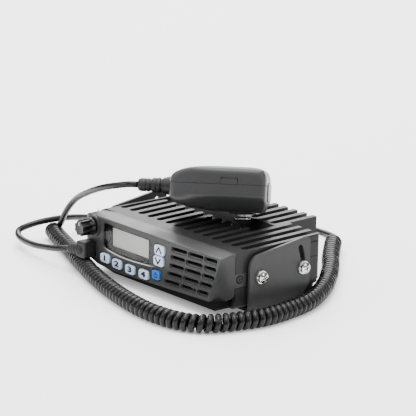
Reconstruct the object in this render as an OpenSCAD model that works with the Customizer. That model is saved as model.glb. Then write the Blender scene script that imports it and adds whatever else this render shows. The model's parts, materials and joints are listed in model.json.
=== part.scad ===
// Mobile two-way radio in its tilting mounting bracket, with its hand
// microphone lying on the cooling fins and a curly cord laid around it.
// Origin: centre of the underside of the bracket's base plate.
// +X to the radio's right seen from the front, +Y to the rear, +Z up. Millimetres.

/* [Radio body] */
// Half width of the chassis
half_w = 75; // [74.8:0.1:75.2]
// Depth from the panel face to the back of the chassis
body_d = 117.5; // [116:0.5:120]
// Height of the fins at the front
top_front = 39.5; // [39:0.1:40]
// Height of the fins at the back
top_back = 41.3; // [41:0.1:42]
// Depth of the plastic front panel
panel_t = 13.4; // [13:0.1:14]
// Width of the slot between two fins
slot_w = 5.6; // [4:0.2:6]
// Distance from one fin to the next
slot_pitch = 10; // [9.9:0.05:10.05]
// Height of the slot floors
slot_floor = 36.2; // [35.5:0.1:37]

/* [Bracket] */
// Thickness of the bracket's steel
steel_t = 2; // [1.5:0.1:2]
// Height of the chassis above the bracket's underside
lift = 6.5; // [6.5:0.1:7]
// Largest tilt of the bracket in degrees
tilt = 22; // [12:1:22]
// Distance between the base holes across the radio
base_holes_x = 110; // [90:5:120]
// Distance between the base holes along the radio
base_holes_y = 30; // [20:2:30]

/* [Controls] */
// Diameter of the volume knob
knob_d = 12; // [11:0.5:13]
// How far a key travels
key_travel = 0.8; // [0.4:0.1:0.8]

/* [Microphone] */
// Half width of the microphone
mic_half_w = 28; // [27:0.5:29]
// Height of the joint between the two shells above the axis
mic_split = 2.5; // [2:0.5:3]
// How far the talk button travels
talk_travel = 1.5; // [1:0.1:1.5]

/* [Cord] */
// Diameter of the cord
cord_d = 4.6; // [4.2:0.1:4.8]
// Outside diameter of the curly part
coil_d = 13.2; // [12.5:0.1:13.4]

/* [Hidden] */
$fn = 48;
half_b = 54;
pivot = [33.6, 20.6];
slot_r = 38.6;
plate_x = half_w + 1.6;
vol = [-62.3, 30.2];
ant = [10, 20];
ant_y = body_d;
jack = [30, 16];

// Places where the cord bends, measured from the chassis' front lower edge
route_radio = [[-80,-8,10.5],[-86,-9.6,9.2],[-95,-10,7.2],[-108,-9.2,5],[-122,-7.8,3],[-138,-4.4,1.5],
    [-152,0,1.5],[-158.5,5,3.6],[-156.5,10,6],[-153.5,17.5,8.2],[-150.5,27,9.6],[-149.2,40,9.4],[-153,54,6.6],
    [-159,70,2.4],[-163,84,-1.6],[-163,98,-4.2],[-158,114,-4.2],[-148,131,-4.2],[-132,152,-4.2],[-112,172,-4.2],
    [-88,190,-4.2],[-64,200,-4.2],[-42,202,-4.2],[-26,198,-3],[-16,191,-1],[-9,184,0.1]];
route_coil = [[-158,35,0.1],[-134,24,0.1],[-107,13,0.1],[-75,-1,0.1],[-46,-13,0.1],[-17,-23,0.1],[14,-31,0.1],
    [41,-35,0.1],[63,-34,0.1],[77,-29.5,0.1],[86,-22,0.1],[92,-11,0.1],[96,3,0.1],[99,19,0.1],[97,42,0.1],
    [90,69,0.1],[72,99,0.1],[46,129,0.1],[27,147,0.1],[9,165,0.1],[-9,184,0.1]];
route_mic = [[-36.4,18.37,63],[-41,13.92,62.9],[-48.5,11.4,61],[-58.6,10.8,58],[-71.5,12,53.5],[-87.5,15.5,47],
    [-105,20.2,39],[-114.5,22.8,33.5],[-122,24.2,27.5],[-130.5,26.4,19.5],[-138,29.5,12],[-147,33.5,5],[-158,35,0.1]];

// ---- helpers ----
module radio() { translate([0, -half_b - 1, lift]) children(); }
module mic() { radio() translate([4.8, 58.2, 63]) rotate([-16, 0, 44.03]) children(); }
module rbox(x0, y0, x1, y1, r) {
    translate([x0 + r, y0]) square([x1 - x0 - 2*r, y1 - y0]);
    translate([x0, y0 + r]) square([x1 - x0, y1 - y0 - 2*r]);
    for (x = [x0 + r, x1 - r], y = [y0 + r, y1 - r]) translate([x, y]) circle(r);
}
// outline drawn in X and Z, between two values of Y
module front(y0, y1) { translate([0, y1, 0]) rotate([90, 0, 0]) linear_extrude(y1 - y0) children(); }
// outline drawn in Y and Z, between two values of X
module side(x0, x1) { translate([x0, 0, 0]) rotate([90, 0, 90]) linear_extrude(x1 - x0) children(); }
// round bar along Y / along X
module ybar(x, z, r, y0, y1) { translate([x, y1, z]) rotate([90, 0, 0]) cylinder(r = r, h = y1 - y0); }
module xbar(y, z, r, x0, x1) { translate([x0, y, z]) rotate([0, 90, 0]) cylinder(r = r, h = x1 - x0); }
function arc(cx, cy, r, a0, a1, n) = [for (i = [0:n]) [cx + r*cos(a0 + (a1 - a0)*i/n), cy + r*sin(a0 + (a1 - a0)*i/n)]];

function unit(v) = v / norm(v);
function cat(p, i, t) = let(a = p[max(i - 1, 0)], b = p[i], c = p[i + 1], d = p[min(i + 2, len(p) - 1)])
    0.5*(2*b + (c - a)*t + (2*a - 5*b + 4*c - d)*t*t + (3*b - a - 3*c + d)*t*t*t);
function run(p, s) = concat([for (i = [0:len(p) - 2]) let(n = max(1, round(norm(p[i + 1] - p[i])/s))) for (k = [0:n - 1]) cat(p, i, k/n)], [p[len(p) - 1]]);
function heading(q, i) = unit(q[min(i + 1, len(q) - 1)] - q[max(i - 1, 0)]);
function ring(c, t, r, n) = let(u = unit(cross(t, [0, 0, 1])), v = cross(u, t))
    [for (k = [0:n - 1]) c + r*cos(360*k/n)*u + r*sin(360*k/n)*v];
module tube(p, r, s, n) {
    q = run(p, s);
    m = len(q);
    pts = [for (i = [0:m - 1]) each ring(q[i], heading(q, i), r, n)];
    polyhedron(pts, concat([[for (k = [0:n - 1]) k]],
        [for (i = [0:m - 2], k = [0:n - 1]) [i*n + k, i*n + n + k, i*n + n + (k + 1) % n, i*n + (k + 1) % n]],
        [[for (k = [n - 1:-1:0]) (m - 1)*n + k]]));
}

// ---- radio body ----
module section() {
    polygon(concat([[-half_w + 2, 0]], arc(-half_w + 10, 29.4, 10, 180, 94, 12), [[-58, 40.2], [-48, 41.3], [half_w - 1.6, 41.3]],
        arc(half_w - 1.6, 39.7, 1.6, 90, 0, 4), [[half_w, 2], [half_w - 2, 0]]));
}
module plan() {
    polygon(concat([[-half_w + 1.5, body_d], [-half_w, body_d - 1.5], [-half_w, panel_t], [half_w, panel_t]],
        arc(half_w - 3, 88.3, 3, 0, 90, 6), [[42.3, 91.3], [42.3, body_d]]));
}
function slot_x(i) = -61.2 + slot_pitch*i;
module slot(x, y0, y1, z) {
    translate([x - slot_w/2, y0 + slot_w/2, z]) cube([slot_w, y1 - y0 - slot_w/2, 12]);
    translate([x, y0 + slot_w/2, z]) cylinder(d = slot_w, h = 12);
}
module cover_plan(g) {
    translate([-half_w + 2.4 + g, 15.2 + g]) square([2*half_w - 4.8 - 2*g, 58 - 2*g]);
    translate([-half_w + 2.4 + g, 15.2 + g]) square([half_w + 37 - 2*g, 100 - 2*g]);
}
cover_pts = [[-66, 20], [0, 20], [66, 20], [-66, 68], [66, 68], [-66, 109], [33, 109]];
module chassis() color([0.09, 0.09, 0.095]) radio() difference() {
    union() {
        intersection() {
            side(-half_w - 1, half_w + 1) polygon([[panel_t, 0], [body_d, 0], [body_d, top_back], [panel_t, top_front]]);
            front(0, body_d + 1) section();
            linear_extrude(60) plan();
        }
        front(1.2, panel_t) polygon([[-58, 3.1], [-41, 0], [69, 0], [71.6, 2.5], [71.6, 5.9], [-41, 1.7]]);
    }
    // hollow for the boards, with screw posts
    difference() {
        union() {
            translate([-half_w + 4, 17.4, -1]) cube([2*half_w - 8, 54.6, 32.5]);
            translate([-half_w + 4, 17.4, -1]) cube([half_w + 34, 96.1, 32.5]);
            translate([30, 70, 11]) cube([40, 15, 20.5]);
        }
        for (p = cover_pts) translate([p[0] - 5.2, p[1] - 5.2, 0]) cube([10.4, 10.4, 12]);
    }
    translate([0, 0, -1]) linear_extrude(2.2) cover_plan(0);
    for (p = cover_pts) translate([p[0], p[1], -1]) cylinder(r = 1.3, h = 10);
    // opening behind the front panel
    translate([-66, 12, 6]) cube([132, 6, 26]);
    // fins, the hollow behind the middle fins and the fins of the rear block
    for (i = [0:10]) slot(slot_x(i), 23.9, 62, slot_floor);
    for (i = [11:13]) slot(slot_x(i), 23.9, 92, slot_floor);
    difference() {
        side(-64, 41.6) polygon([[59.5, slot_floor], [66, slot_floor], [70, slot_floor + 0.8], [79, 40.7], [79, 60], [59.5, 60]]);
        for (i = [0:9]) translate([slot_x(i) + slot_pitch/2, 59.5, 30]) cylinder(d = slot_pitch - slot_w, h = 20);
    }
    for (k = [-6:3]) slot(5.2 + slot_pitch*k, 80.5, body_d + 4, slot_floor + 0.6);
    // low rear corner that lets the cord pass
    side(65, half_w + 1) polygon([[75, -1], [75, 0], [79.5, 8.5], [95, 8.5], [95, -1]]);
    // ledge along the rear of the right side
    translate([half_w - 0.7, 79.6, 35.6]) cube([2, 12, 0.9]);
    translate([half_w - 0.4, 79.6, 25.4]) cube([2, 12, 0.5]);
    // side pockets of the panel's ears and their screws
    for (s = [-1, 1]) {
        translate([s*(half_w + 0.2) - 2, 12, 14.9]) cube([4, 11.7, 10.2]);
        xbar(17.3, 20.9, 1.25, s*(half_w - 4) - 5, s*(half_w - 4) + 5);
    }
    // threaded holes of the bracket bolts
    for (s = [-1, 1], y = [pivot[0], pivot[0] + slot_r]) xbar(y, pivot[1], 1.88, s*70.5 - 5, s*70.5 + 5);
    // rear openings
    ybar(ant[0], ant[1], 6.3, ant_y - 5.5, ant_y + 1.5);
    translate([-42, 112, 9]) cube([22, 7, 13]);
    ybar(jack[0], jack[1], 3.5, 112, 119);
    // antenna flange screws
    for (x = [-9.3, 9.3], z = [-9.3, 9.3]) ybar(ant[0] + x, ant[1] + z, 1.2, ant_y - 5.5, ant_y + 1.5);
}
module bottom_cover() color([0.12, 0.12, 0.12]) radio() difference() {
    linear_extrude(1.2) cover_plan(0.15);
    for (p = cover_pts) translate([p[0], p[1], 0]) { translate([0, 0, -1]) cylinder(r = 1.4, h = 3); translate([0, 0, -0.01]) cylinder(r = 2.5, h = 0.7); }
    for (i = [-5:3]) translate([i*8, 40, -1]) linear_extrude(3) rbox(-1.25, -8, 1.25, 8, 1.2);
}
module cover_screws() color([0.2, 0.2, 0.2]) radio() for (p = cover_pts) translate([p[0], p[1], 0]) difference() {
    union() { cylinder(r = 2.4, h = 0.68); cylinder(r = 1.25, h = 7); }
    for (a = [0, 90]) rotate([0, 0, a]) translate([-1.3, -0.3, -1]) cube([2.6, 0.6, 1.4]);
}

// ---- front panel ----
module panel_outline() {
    polygon(concat([[-30, 41], [-52, 39.6]], arc(-65, 28.7, 10, 93, 180, 12), [[-75, 13]], arc(-70, 12.5, 5, 180, 250, 5), [[-58, 3.1], [-41, 1.7], [67, 5.8]],
        arc(68, 13, 7.2, 280, 360, 8), arc(74, 39.5, 1.2, 0, 90, 4), [[74, 41]]));
}
module cheek(d) { translate([75.4, -d, 36.4]) rotate([0, 17.8, -43]) translate([0, -100, -100]) cube([60, 200, 200]); }
window_pts = concat([[-51.5, 20]], arc(-48.5, 19.3, 3, 185, 255, 5), [[-38, 15.4], [-25, 15], [-10, 15.4], [-2, 16.1]], arc(-1.4, 18.6, 2.6, 285, 360, 5),
    arc(-0.2, 32, 2.2, 0, 90, 5), [[-20, 34.3], [-36, 34.6]], arc(-49.5, 33, 2, 95, 180, 5));
row_z = [[33.9, 24, 39.5, 41.8, 56.6, 58.8, 71], [27.9, 23.4, 37.4, 39.6, 56, 58.4, 70], [21.8, 22.4, 36.4, 38.6, 54.4, 56.8, 68.4],
    [15.6, 20.2, 34.6, 36.8, 52.3, 54.7, 66], [9.5, 16.8, 32, 34.4, 50, 52.4, 62.4]];
module grille_slot(x0, x1, z, h, y0, y1) {
    zm = z + 0.035*((x0 + x1)/2 - 46);
    translate([(x0 + x1)/2, 0, zm]) rotate([0, -2, 0]) front(y0, y1) rbox(-(x1 - x0)/2, -h/2, (x1 - x0)/2, h/2, h/2 - 0.01);
}
keys = [["key_up", 11.3, 29.3, 10.2, 6.9], ["key_down", 10.5, 21.4, 10.2, 6.9], ["key_1", -48.8, 9.3, 10, 6.4], ["key_2", -35.3, 8.2, 10, 6.4],
    ["key_3", -20.7, 7.7, 10, 6.4], ["key_4", -5.6, 7.9, 10, 6.4], ["key_power", 8, 10.8, 8, 6.6]];
module front_panel() color([0.1, 0.1, 0.105]) radio() difference() {
    union() {
        difference() {
            intersection() {
                front(-1, panel_t) panel_outline();
                side(-80, 80) polygon([[0, -2], [panel_t, -2], [panel_t, top_front], [10.5, 39.3], [1, 37.9], [0, 37.1]]);
                linear_extrude(60) polygon(concat([[-75, panel_t]], arc(-68, 7, 7, 180, 270, 8), [[80, 0], [80, panel_t]]));
            }
            cheek(0);
            // hollow behind the face
            difference() {
                translate([-69, 3, 8]) cube([130, 12, 27.5]);
                cheek(3.4);
            }
            translate([-57, 3, 3.9]) cube([72, 12, 6]);
        }
        ybar(vol[0], vol[1], 7.5, -1.4, 2);
        for (s = [-1, 1]) translate([s*74.1 - 0.8, panel_t - 1, 15]) cube([1.6, 11.2, 10]);
    }
    // window seat and display opening
    front(-2, 2.4) polygon(window_pts);
    translate([-47, 1, 18]) cube([46.5, 4, 16]);
    // keys in their shallow seats
    for (k = keys) translate([k[1], 0, k[2]]) {
        front(-1, 5) rbox(-k[3]/2 - 0.3, -k[4]/2 - 0.3, k[3]/2 + 0.3, k[4]/2 + 0.3, 2.3);
        front(-1, 0.5) rbox(-k[3]/2 - 1, -k[4]/2 - 0.9, k[3]/2 + 1, k[4]/2 + 0.9, 2.6);
    }
    // speaker openings
    for (r = row_z) for (j = [1, 3, 5]) {
        grille_slot(r[j], r[j + 1], r[0] + 0.3, 2.3, -1, 14);
        grille_slot(r[j] - 0.8, r[j + 1] + 0.8, r[0], 4.2, -1, 0.7);
    }
    ybar(vol[0], vol[1], 4.2, -2, 5);
    ybar(vol[0], vol[1], 6.7, -2, -0.9);
    translate([-70.9, -1, 7.6]) cube([10.8, 15, 10.8]);
    for (s = [-1, 1]) { xbar(17.3, 20.9, 1.3, s*74 - 3, s*74 + 3); xbar(17.3, 20.9, 2.3, s*75.15 - 0.85, s*75.15 + 0.85); }
}
module panel_screws() color([0.15, 0.15, 0.15]) radio() for (s = [-1, 1]) difference() {
    union() { xbar(17.3, 20.9, 2.15, s*74.75 - 0.4, s*74.75 + 0.4); xbar(17.3, 20.9, 1.2, s*71.5 - 3, s*71.5 + 3); }
    for (a = [0, 90]) translate([s*75.1 - 0.4, 17.3, 20.9]) rotate([a, 0, 0]) translate([0, -1.3, -0.3]) cube([0.8, 2.6, 0.6]);
}
module display_window() color([0.05, 0.05, 0.055]) radio() front(0.4, 2.4) polygon(window_pts);
module lcd_module() color([0.72, 0.72, 0.7]) radio() translate([-46, 2.5, 18.6]) cube([44.6, 5.2, 14.4]);
module front_board() color([0.05, 0.3, 0.15]) radio() difference() {
    union() { translate([-68, 9, 9]) cube([98, 1.6, 25.5]); translate([-56, 9, 4.6]) cube([70, 1.6, 5]); }
    for (x = [-52, 26]) ybar(x, 32, 1.3, 8, 12);
}
module key_switches() color([0.8, 0.8, 0.78]) radio() for (k = keys) translate([k[1], 0, k[2]]) {
    front(8.55, 9) rbox(-2.6, -2.6, 2.6, 2.6, 0.5);
    ybar(0, 0, 1.6, 8.42, 8.56);
}
module volume_control() color([0.55, 0.56, 0.58]) radio() difference() {
    union() { translate([vol[0] - 6.2, 3.3, vol[1] - 6]) cube([12.4, 5.7, 10]); ybar(vol[0], vol[1], 3.9, -0.3, 3.4); }
    ybar(vol[0], vol[1], 3.05, -1, 6.2);
}
module volume_shaft() color([0.7, 0.7, 0.72]) radio() ybar(vol[0], vol[1], 3, -11, 6.1);
module volume_knob() color([0.04, 0.04, 0.04]) radio() translate([vol[0], 0, vol[1]]) difference() {
    union() {
        ybar(0, 0, knob_d/2, -12.8, -3.4);
        ybar(0, 0, knob_d/2 - 0.7, -13.6, -12.8);
        ybar(0, 0, knob_d/2 + 0.2, -3.6, -1.6);
    }
    ybar(0, 0, 3, -11, 0);
    for (i = [0:7]) rotate([0, i*45 + 12, 0]) ybar(0, knob_d/2 + 0.9, 1.9, -18, -5);
}
module mic_jack() color([0.14, 0.14, 0.15]) radio() difference() {
    translate([-70.8, 0.6, 7.7]) cube([10.6, 8.3, 10.6]);
    translate([-69.1, -1, 9.4]) cube([7.2, 8, 7.2]);
}
module speaker_frame() color([0.5, 0.5, 0.52]) radio() translate([44, 0, 20.2]) difference() {
    union() { ybar(0, 0, 11.9, 4.2, 8); ybar(0, 0, 6.5, 7.9, 12.6); }
    translate([0, 3, 0]) rotate([-90, 0, 0]) cylinder(r1 = 12, r2 = 7.6, h = 4.2);
}
module speaker_cone() color([0.2, 0.2, 0.2]) radio() translate([44, 4.3, 20.2]) rotate([-90, 0, 0]) difference() {
    cylinder(r1 = 10.6, r2 = 6.9, h = 2.8);
    translate([0, 0, -0.4]) cylinder(r1 = 10.6, r2 = 6.4, h = 2.8);
}

// ---- inside ----
module main_board() color([0.05, 0.32, 0.16]) radio() difference() {
    translate([-61, 25, 14]) cube([121, 46.5, 1.6]);
    for (x = [-56, 55], y = [29, 67]) translate([x, y, 13]) cylinder(r = 1.6, h = 4);
}
module rf_shield() color([0.75, 0.76, 0.77]) radio() difference() {
    translate([-45, 30, 15.6]) cube([60, 36, 6]);
    translate([-44.6, 30.4, 15]) cube([59.2, 35.2, 6.2]);
}
module power_module() color([0.3, 0.3, 0.32]) radio() {
    translate([22, 72.5, 24.5]) cube([46, 11, 7]);
    for (i = [0:3]) translate([28 + 8*i, 69, 27]) cube([1, 3.6, 0.5]);
}
module antenna_connector() color([0.8, 0.8, 0.8]) radio() difference() {
    union() {
        front(ant_y, ant_y + 1.8) translate([ant[0], ant[1]]) rbox(-12.2, -11.6, 12.2, 11.6, 2);
        ybar(ant[0], ant[1], 7.9, ant_y + 1.7, ant_y + 16.5);
        ybar(ant[0], ant[1], 6.2, ant_y - 3.5, ant_y + 0.1);
    }
    ybar(ant[0], ant[1], 5.6, ant_y - 1.5, ant_y + 17.5);
    ybar(ant[0], ant[1], 3.2, ant_y - 4.5, ant_y - 0.5);
    for (x = [-9.3, 9.3], z = [-9.3, 9.3]) ybar(ant[0] + x, ant[1] + z, 1.2, ant_y - 0.5, ant_y + 2.5);
}
module antenna_screws() color([0.7, 0.7, 0.72]) radio() for (x = [-9.3, 9.3], z = [-9.3, 9.3]) difference() {
    union() { ybar(ant[0] + x, ant[1] + z, 2, ant_y + 1.8, ant_y + 3.1); ybar(ant[0] + x, ant[1] + z, 1.15, ant_y - 3.9, ant_y + 1.9); }
    for (a = [0, 90]) translate([ant[0] + x, ant_y + 3.2, ant[1] + z]) rotate([0, a, 0]) translate([-1.2, -0.6, -0.25]) cube([2.4, 0.8, 0.5]);
}
module antenna_insulator() color([0.93, 0.92, 0.88]) radio() difference() {
    ybar(ant[0], ant[1], 5.6, ant_y - 1.5, ant_y + 15.3);
    ybar(ant[0], ant[1], 2.9, ant_y - 2.5, ant_y + 16.5);
}
module antenna_contact() color([0.85, 0.7, 0.3]) radio() difference() {
    ybar(ant[0], ant[1], 2.9, ant_y - 3, ant_y + 15.7);
    ybar(ant[0], ant[1], 2, ant_y + 1.5, ant_y + 16.5);
}
module power_socket() color([0.9, 0.88, 0.8]) radio() difference() {
    translate([-41.8, 108, 9.2]) cube([21.6, 9.3, 12.6]);
    for (x = [-39.9, -30.3]) translate([x, 110, 11.2]) cube([8.2, 9, 8.6]);
}
module speaker_jack() color([0.12, 0.12, 0.12]) radio() difference() {
    union() { ybar(jack[0], jack[1], 3.4, 111, 117.3); translate([jack[0] - 4.5, 102, jack[1] - 3.4]) cube([9, 10, 6.8]); }
    ybar(jack[0], jack[1], 1.8, 105, 118);
}

// ---- keys ----
module key_body(k) radio() translate([k[1], 0, k[2]]) {
    front(-0.9, 3.5) rbox(-k[3]/2, -k[4]/2, k[3]/2, k[4]/2, 2);
    translate([-k[3]/2 - 0.7, 3.4, -k[4]/2 + 0.5]) cube([k[3] + 1.4, 0.9, k[4] - 0.5]);
    ybar(0, 0, 1.5, 4.2, 7.6);
}
module key_up() color([0.76, 0.82, 0.9]) key_body(keys[0]);
module key_down() color([0.76, 0.82, 0.9]) key_body(keys[1]);
module key_1() color([0.76, 0.82, 0.9]) key_body(keys[2]);
module key_2() color([0.76, 0.82, 0.9]) key_body(keys[3]);
module key_3() color([0.76, 0.82, 0.9]) key_body(keys[4]);
module key_4() color([0.76, 0.82, 0.9]) key_body(keys[5]);
module key_power() color([0.3, 0.5, 0.8]) key_body(keys[6]);

// ---- bracket ----
module bracket_profile() polygon(concat([[23.4, -lift], [66, -lift], [78.5, 8.5]],
    arc(73.5, 37.34, 5, 0, 97.8, 10), arc(32.9, 27.23, 9.5, 97.8, 180, 14)));
module bracket() color([0.08, 0.08, 0.085]) radio() difference() {
    union() {
        // two sides, base and bends
        intersection() {
            front(20, 82) difference() {
                rbox(-plate_x - steel_t, -lift, plate_x + steel_t, 60, 3);
                rbox(-plate_x, -lift + steel_t, plate_x, 70, 1);
            }
            side(-90, 90) bracket_profile();
        }
        translate([0, 0, -lift]) linear_extrude(steel_t) polygon([[-66, 60], [66, 60], [66, 76], [63.5, 78.5], [-63.5, 78.5], [-66, 76]]);
    }
    // relief at the front so that the radio can tilt
    translate([-plate_x + 1.5, 20, -lift - 5]) cube([2*plate_x - 3, 11, 20]);
    // front pivot holes and rear arc slots
    for (s = [-1, 1]) {
        xbar(pivot[0], pivot[1], 1.95, s*(plate_x + 1) - 3, s*(plate_x + 1) + 3);
        translate([s*(plate_x + 1) - 3, pivot[0], pivot[1]]) rotate([90, 0, 90]) linear_extrude(6)
            polygon(concat(arc(0, 0, slot_r + 2.1, 0, tilt, 12), arc(slot_r*cos(tilt), slot_r*sin(tilt), 2.1, tilt + 15, tilt + 165, 10),
                arc(0, 0, slot_r - 2.1, tilt, 0, 12), arc(slot_r, 0, 2.1, 195, 345, 10)));
    }
    // mounting holes
    for (x = [-1, 1], y = [-1, 1]) translate([x*base_holes_x/2, half_b + 1 + y*base_holes_y/2, -lift - 1]) cylinder(r = 2.3, h = 4);
}
module bolt(s) {
    translate([s*(plate_x + steel_t + 0.1), 0, 0]) rotate([0, s*90, 0]) difference() {
        union() {
            translate([0, 0, -8]) cylinder(r = 1.88, h = 8.1);
            cylinder(r = 4.6, h = 0.9);
            translate([0, 0, 0.8]) cylinder(r = 3.8, h = 2.2);
            intersection() { translate([0, 0, -2.9]) sphere(r = 7, $fn = 64); translate([0, 0, 2.9]) cylinder(r = 3.8, h = 2); }
        }
        for (a = [0, 90]) rotate([0, 0, a + 20]) translate([-2.3, -0.55, 2.2]) cube([4.6, 1.1, 3]);
    }
}
module bracket_bolts() color([0.85, 0.85, 0.86]) radio() for (s = [-1, 1], y = [0, slot_r]) translate([0, pivot[0] + y, pivot[1]]) bolt(s);
module spacer_washers() color([0.3, 0.3, 0.3]) radio() for (s = [-1, 1], y = [0, slot_r]) translate([0, pivot[0] + y, pivot[1]])
    difference() { xbar(0, 0, 6, s*(half_w + 0.75) - 0.75, s*(half_w + 0.75) + 0.75); xbar(0, 0, 2, s*76 - 3, s*76 + 3); }

// ---- microphone, along its own X axis with the cord at -X ----
mic_pts = [[2, -11.5], [2, 11.5], [27, -11]];
module mic_plan() polygon(concat(arc(-27, 16, 6.5, 110, 180, 6), arc(-27, -16, 6.5, 180, 250, 6), [[-8, -mic_half_w + 0.6], [0, -mic_half_w]],
    arc(29, -mic_half_w + 6, 6, 270, 360, 7), arc(29, mic_half_w - 6, 6, 0, 90, 7), [[0, mic_half_w], [-8, mic_half_w - 0.6]]));
module mic_section() polygon(concat([[-mic_half_w, -5], [-mic_half_w, 10]], arc(-mic_half_w + 4, 10, 4, 180, 105, 5), [[-12, 15.4], [0, 16], [12, 15.4]],
    arc(mic_half_w - 4, 10, 4, 75, 0, 5), [[mic_half_w, -5], [16, -14.5], [-16, -14.5]]));
module mic_profile() polygon([[-33.5, 3], [-32.5, 6.5], [-29, 9.4], [-22, 12.4], [-13, 14.6], [-2, 16], [22, 16], [27, 15.2], [31.5, 12.8], [34.2, 9], [35, 4], [35, -8], [31, -14.5], [-2, -14.5], [-18, -12.4], [-28, -9.6], [-33.5, -7]]);
module mic_solid() intersection() {
    translate([0, 0, -20]) linear_extrude(40) mic_plan();
    side(-40, 40) mic_section();
    front(-40, 40) mic_profile();
}
module mic_front_shell() color([0.16, 0.16, 0.165]) mic() difference() {
    intersection() { mic_solid(); translate([-50, -40, mic_split]) cube([100, 80, 30]); }
    translate([-29.5, -14, 0]) cube([61, 28, 8.6]);
    translate([-12, -24, 0]) cube([43, 48, 10.8]);
    for (i = [-2:2]) translate([15 + i*4, 0, 9]) linear_extrude(10) rbox(-0.9, -8 + abs(i), 0.9, 8 - abs(i), 0.89);
    translate([-10.3, 20, -6.3]) cube([30.6, 12, 12.6]);
    translate([-30.5, 0, 0]) rotate([0, 90, 0]) translate([0, 0, -4]) cylinder(r = 5.5, h = 8);
    translate([33.2, -15, -9]) cube([3, 30, 14]);
}
module mic_rear_shell() color([0.15, 0.15, 0.155]) mic() difference() {
    intersection() { mic_solid(); translate([-50, -40, -30]) cube([100, 80, 30 + mic_split]); }
    intersection() {
        side(-29, 31) polygon([[-24.5, 5], [-24.5, -4], [-14.5, -12], [14.5, -12], [24.5, -4], [24.5, 5]]);
        translate([0, 0, -20]) linear_extrude(40) scale(0.88) mic_plan();
        front(-40, 40) polygon([[-29, 6], [-29, -6.4], [-18, -9.7], [-2, -12], [30, -12], [31, -6], [31, 6]]);
    }
    translate([-10.3, 20, -6.3]) cube([30.6, 12, 12.6]);
    translate([-30.5, 0, 0]) rotate([0, 90, 0]) translate([0, 0, -4]) cylinder(r = 5.5, h = 8);
    translate([33.2, -15, -9]) cube([3, 30, 14]);
    for (p = mic_pts) translate([p[0], p[1], -15]) { cylinder(r = 1.3, h = 5); cylinder(r = 2.6, h = 1.2); }
    for (x = [11, 23]) translate([x, 3, -15]) cylinder(r = 1.1, h = 5);
}
module mic_end_panel() color([0.2, 0.2, 0.21]) mic() intersection() {
    mic_solid();
    translate([33.2, -14.9, -8.9]) cube([3, 29.8, 13.8]);
}
module talk_button() color([0.12, 0.12, 0.125]) mic() {
    translate([-10, 22.5, -6]) cube([30, 7.2, 12]);
    translate([-11.6, 22, -3.8]) cube([33.2, 0.75, 10.8]);
}
module talk_switch() color([0.8, 0.8, 0.78]) mic() { translate([0, 14, -0.4]) cube([10, 6, 5]); translate([3.5, 19.9, 1]) cube([3, 0.5, 2]); }
module mic_board() color([0.05, 0.3, 0.15]) mic() difference() {
    translate([-25, -17, -2]) cube([54, 34, 1.6]);
    for (p = [[-22, -10], [-22, 10]]) translate([p[0], p[1], -3]) cylinder(r = 1.5, h = 4);
}
module mic_element() color([0.6, 0.6, 0.62]) mic() translate([15, 0, -0.4]) cylinder(r = 4.8, h = 6.6);
module hanger_button() color([0.82, 0.82, 0.83]) mic() difference() {
    union() {
        translate([7.6, -3, -15.5]) cube([18.8, 12, 1]);
        translate([17, 3, -20.2]) cylinder(r = 3.2, h = 5);
        translate([17, 3, -22.4]) cylinder(r = 6, h = 2.4);
    }
    for (x = [11, 23]) translate([x, 3, -16]) cylinder(r = 1.2, h = 3);
}
module hanger_screws() color([0.85, 0.85, 0.86]) mic() for (x = [11, 23]) translate([x, 3, 0]) {
    translate([0, 0, -16.9]) cylinder(r = 2, h = 1.4);
    translate([0, 0, -15.6]) cylinder(r = 1.05, h = 5);
}
module mic_case_screws() color([0.2, 0.2, 0.2]) mic() for (p = mic_pts) translate([p[0], p[1], 0]) {
    translate([0, 0, -14.4]) cylinder(r = 2.4, h = 0.5);
    translate([0, 0, -14]) cylinder(r = 1.25, h = 3.6);
}
module mic_strain_relief() color([0.08, 0.08, 0.08]) mic() rotate([0, -90, 0]) rotate_extrude()
    polygon([[0, 28], [5.3, 28], [5.3, 33.6], [6.8, 33.6], [6.4, 36], [5.3, 39.6], [4.6, 40.2], [4.6, 41], [5.3, 41.8], [5.0, 46.8], [4.0, 47.8], [4.0, 48.6],
        [4.6, 49.4], [4.6, 54.6], [4.2, 56.4], [3.2, 57.2], [0, 57.2]]);

// ---- plug and cord ----
module plug_boot() color([0.09, 0.09, 0.09]) radio() {
    intersection() {
        front(-12, -0.2) rbox(-70.6, 7, -59.4, 19.4, 2.6);
        linear_extrude(40) rbox(-70.6, -10.4, -59.4, 3, 2.2);
    }
    translate([-66, -7.6, 13]) rotate([0, 100.12, -178.36]) rotate_extrude()
        polygon([[0, 0], [4.4, 0], [4.4, 6.2], [3.7, 6.6], [3.7, 7.3], [4.3, 7.7], [4.2, 9.3], [3.6, 9.7], [3.6, 10.3], [4.0, 10.7], [3.9, 12.2], [3.5, 13], [3.1, 14.2], [0, 14.2]]);
}
module plug_insert() color([0.75, 0.76, 0.78]) radio() translate([-68.9, -0.2, 9.6]) cube([6.8, 6.9, 6.8]);
module cord_tail_radio() color([0.07, 0.07, 0.07]) radio() tube(route_radio, cord_d/2, 14, 8);
module cord_coil() color([0.06, 0.06, 0.06]) radio() tube(route_coil, coil_d/2, 30, 12);
module cord_tail_mic() color([0.07, 0.07, 0.07]) radio() tube(route_mic, cord_d/2, 14, 8);

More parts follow.
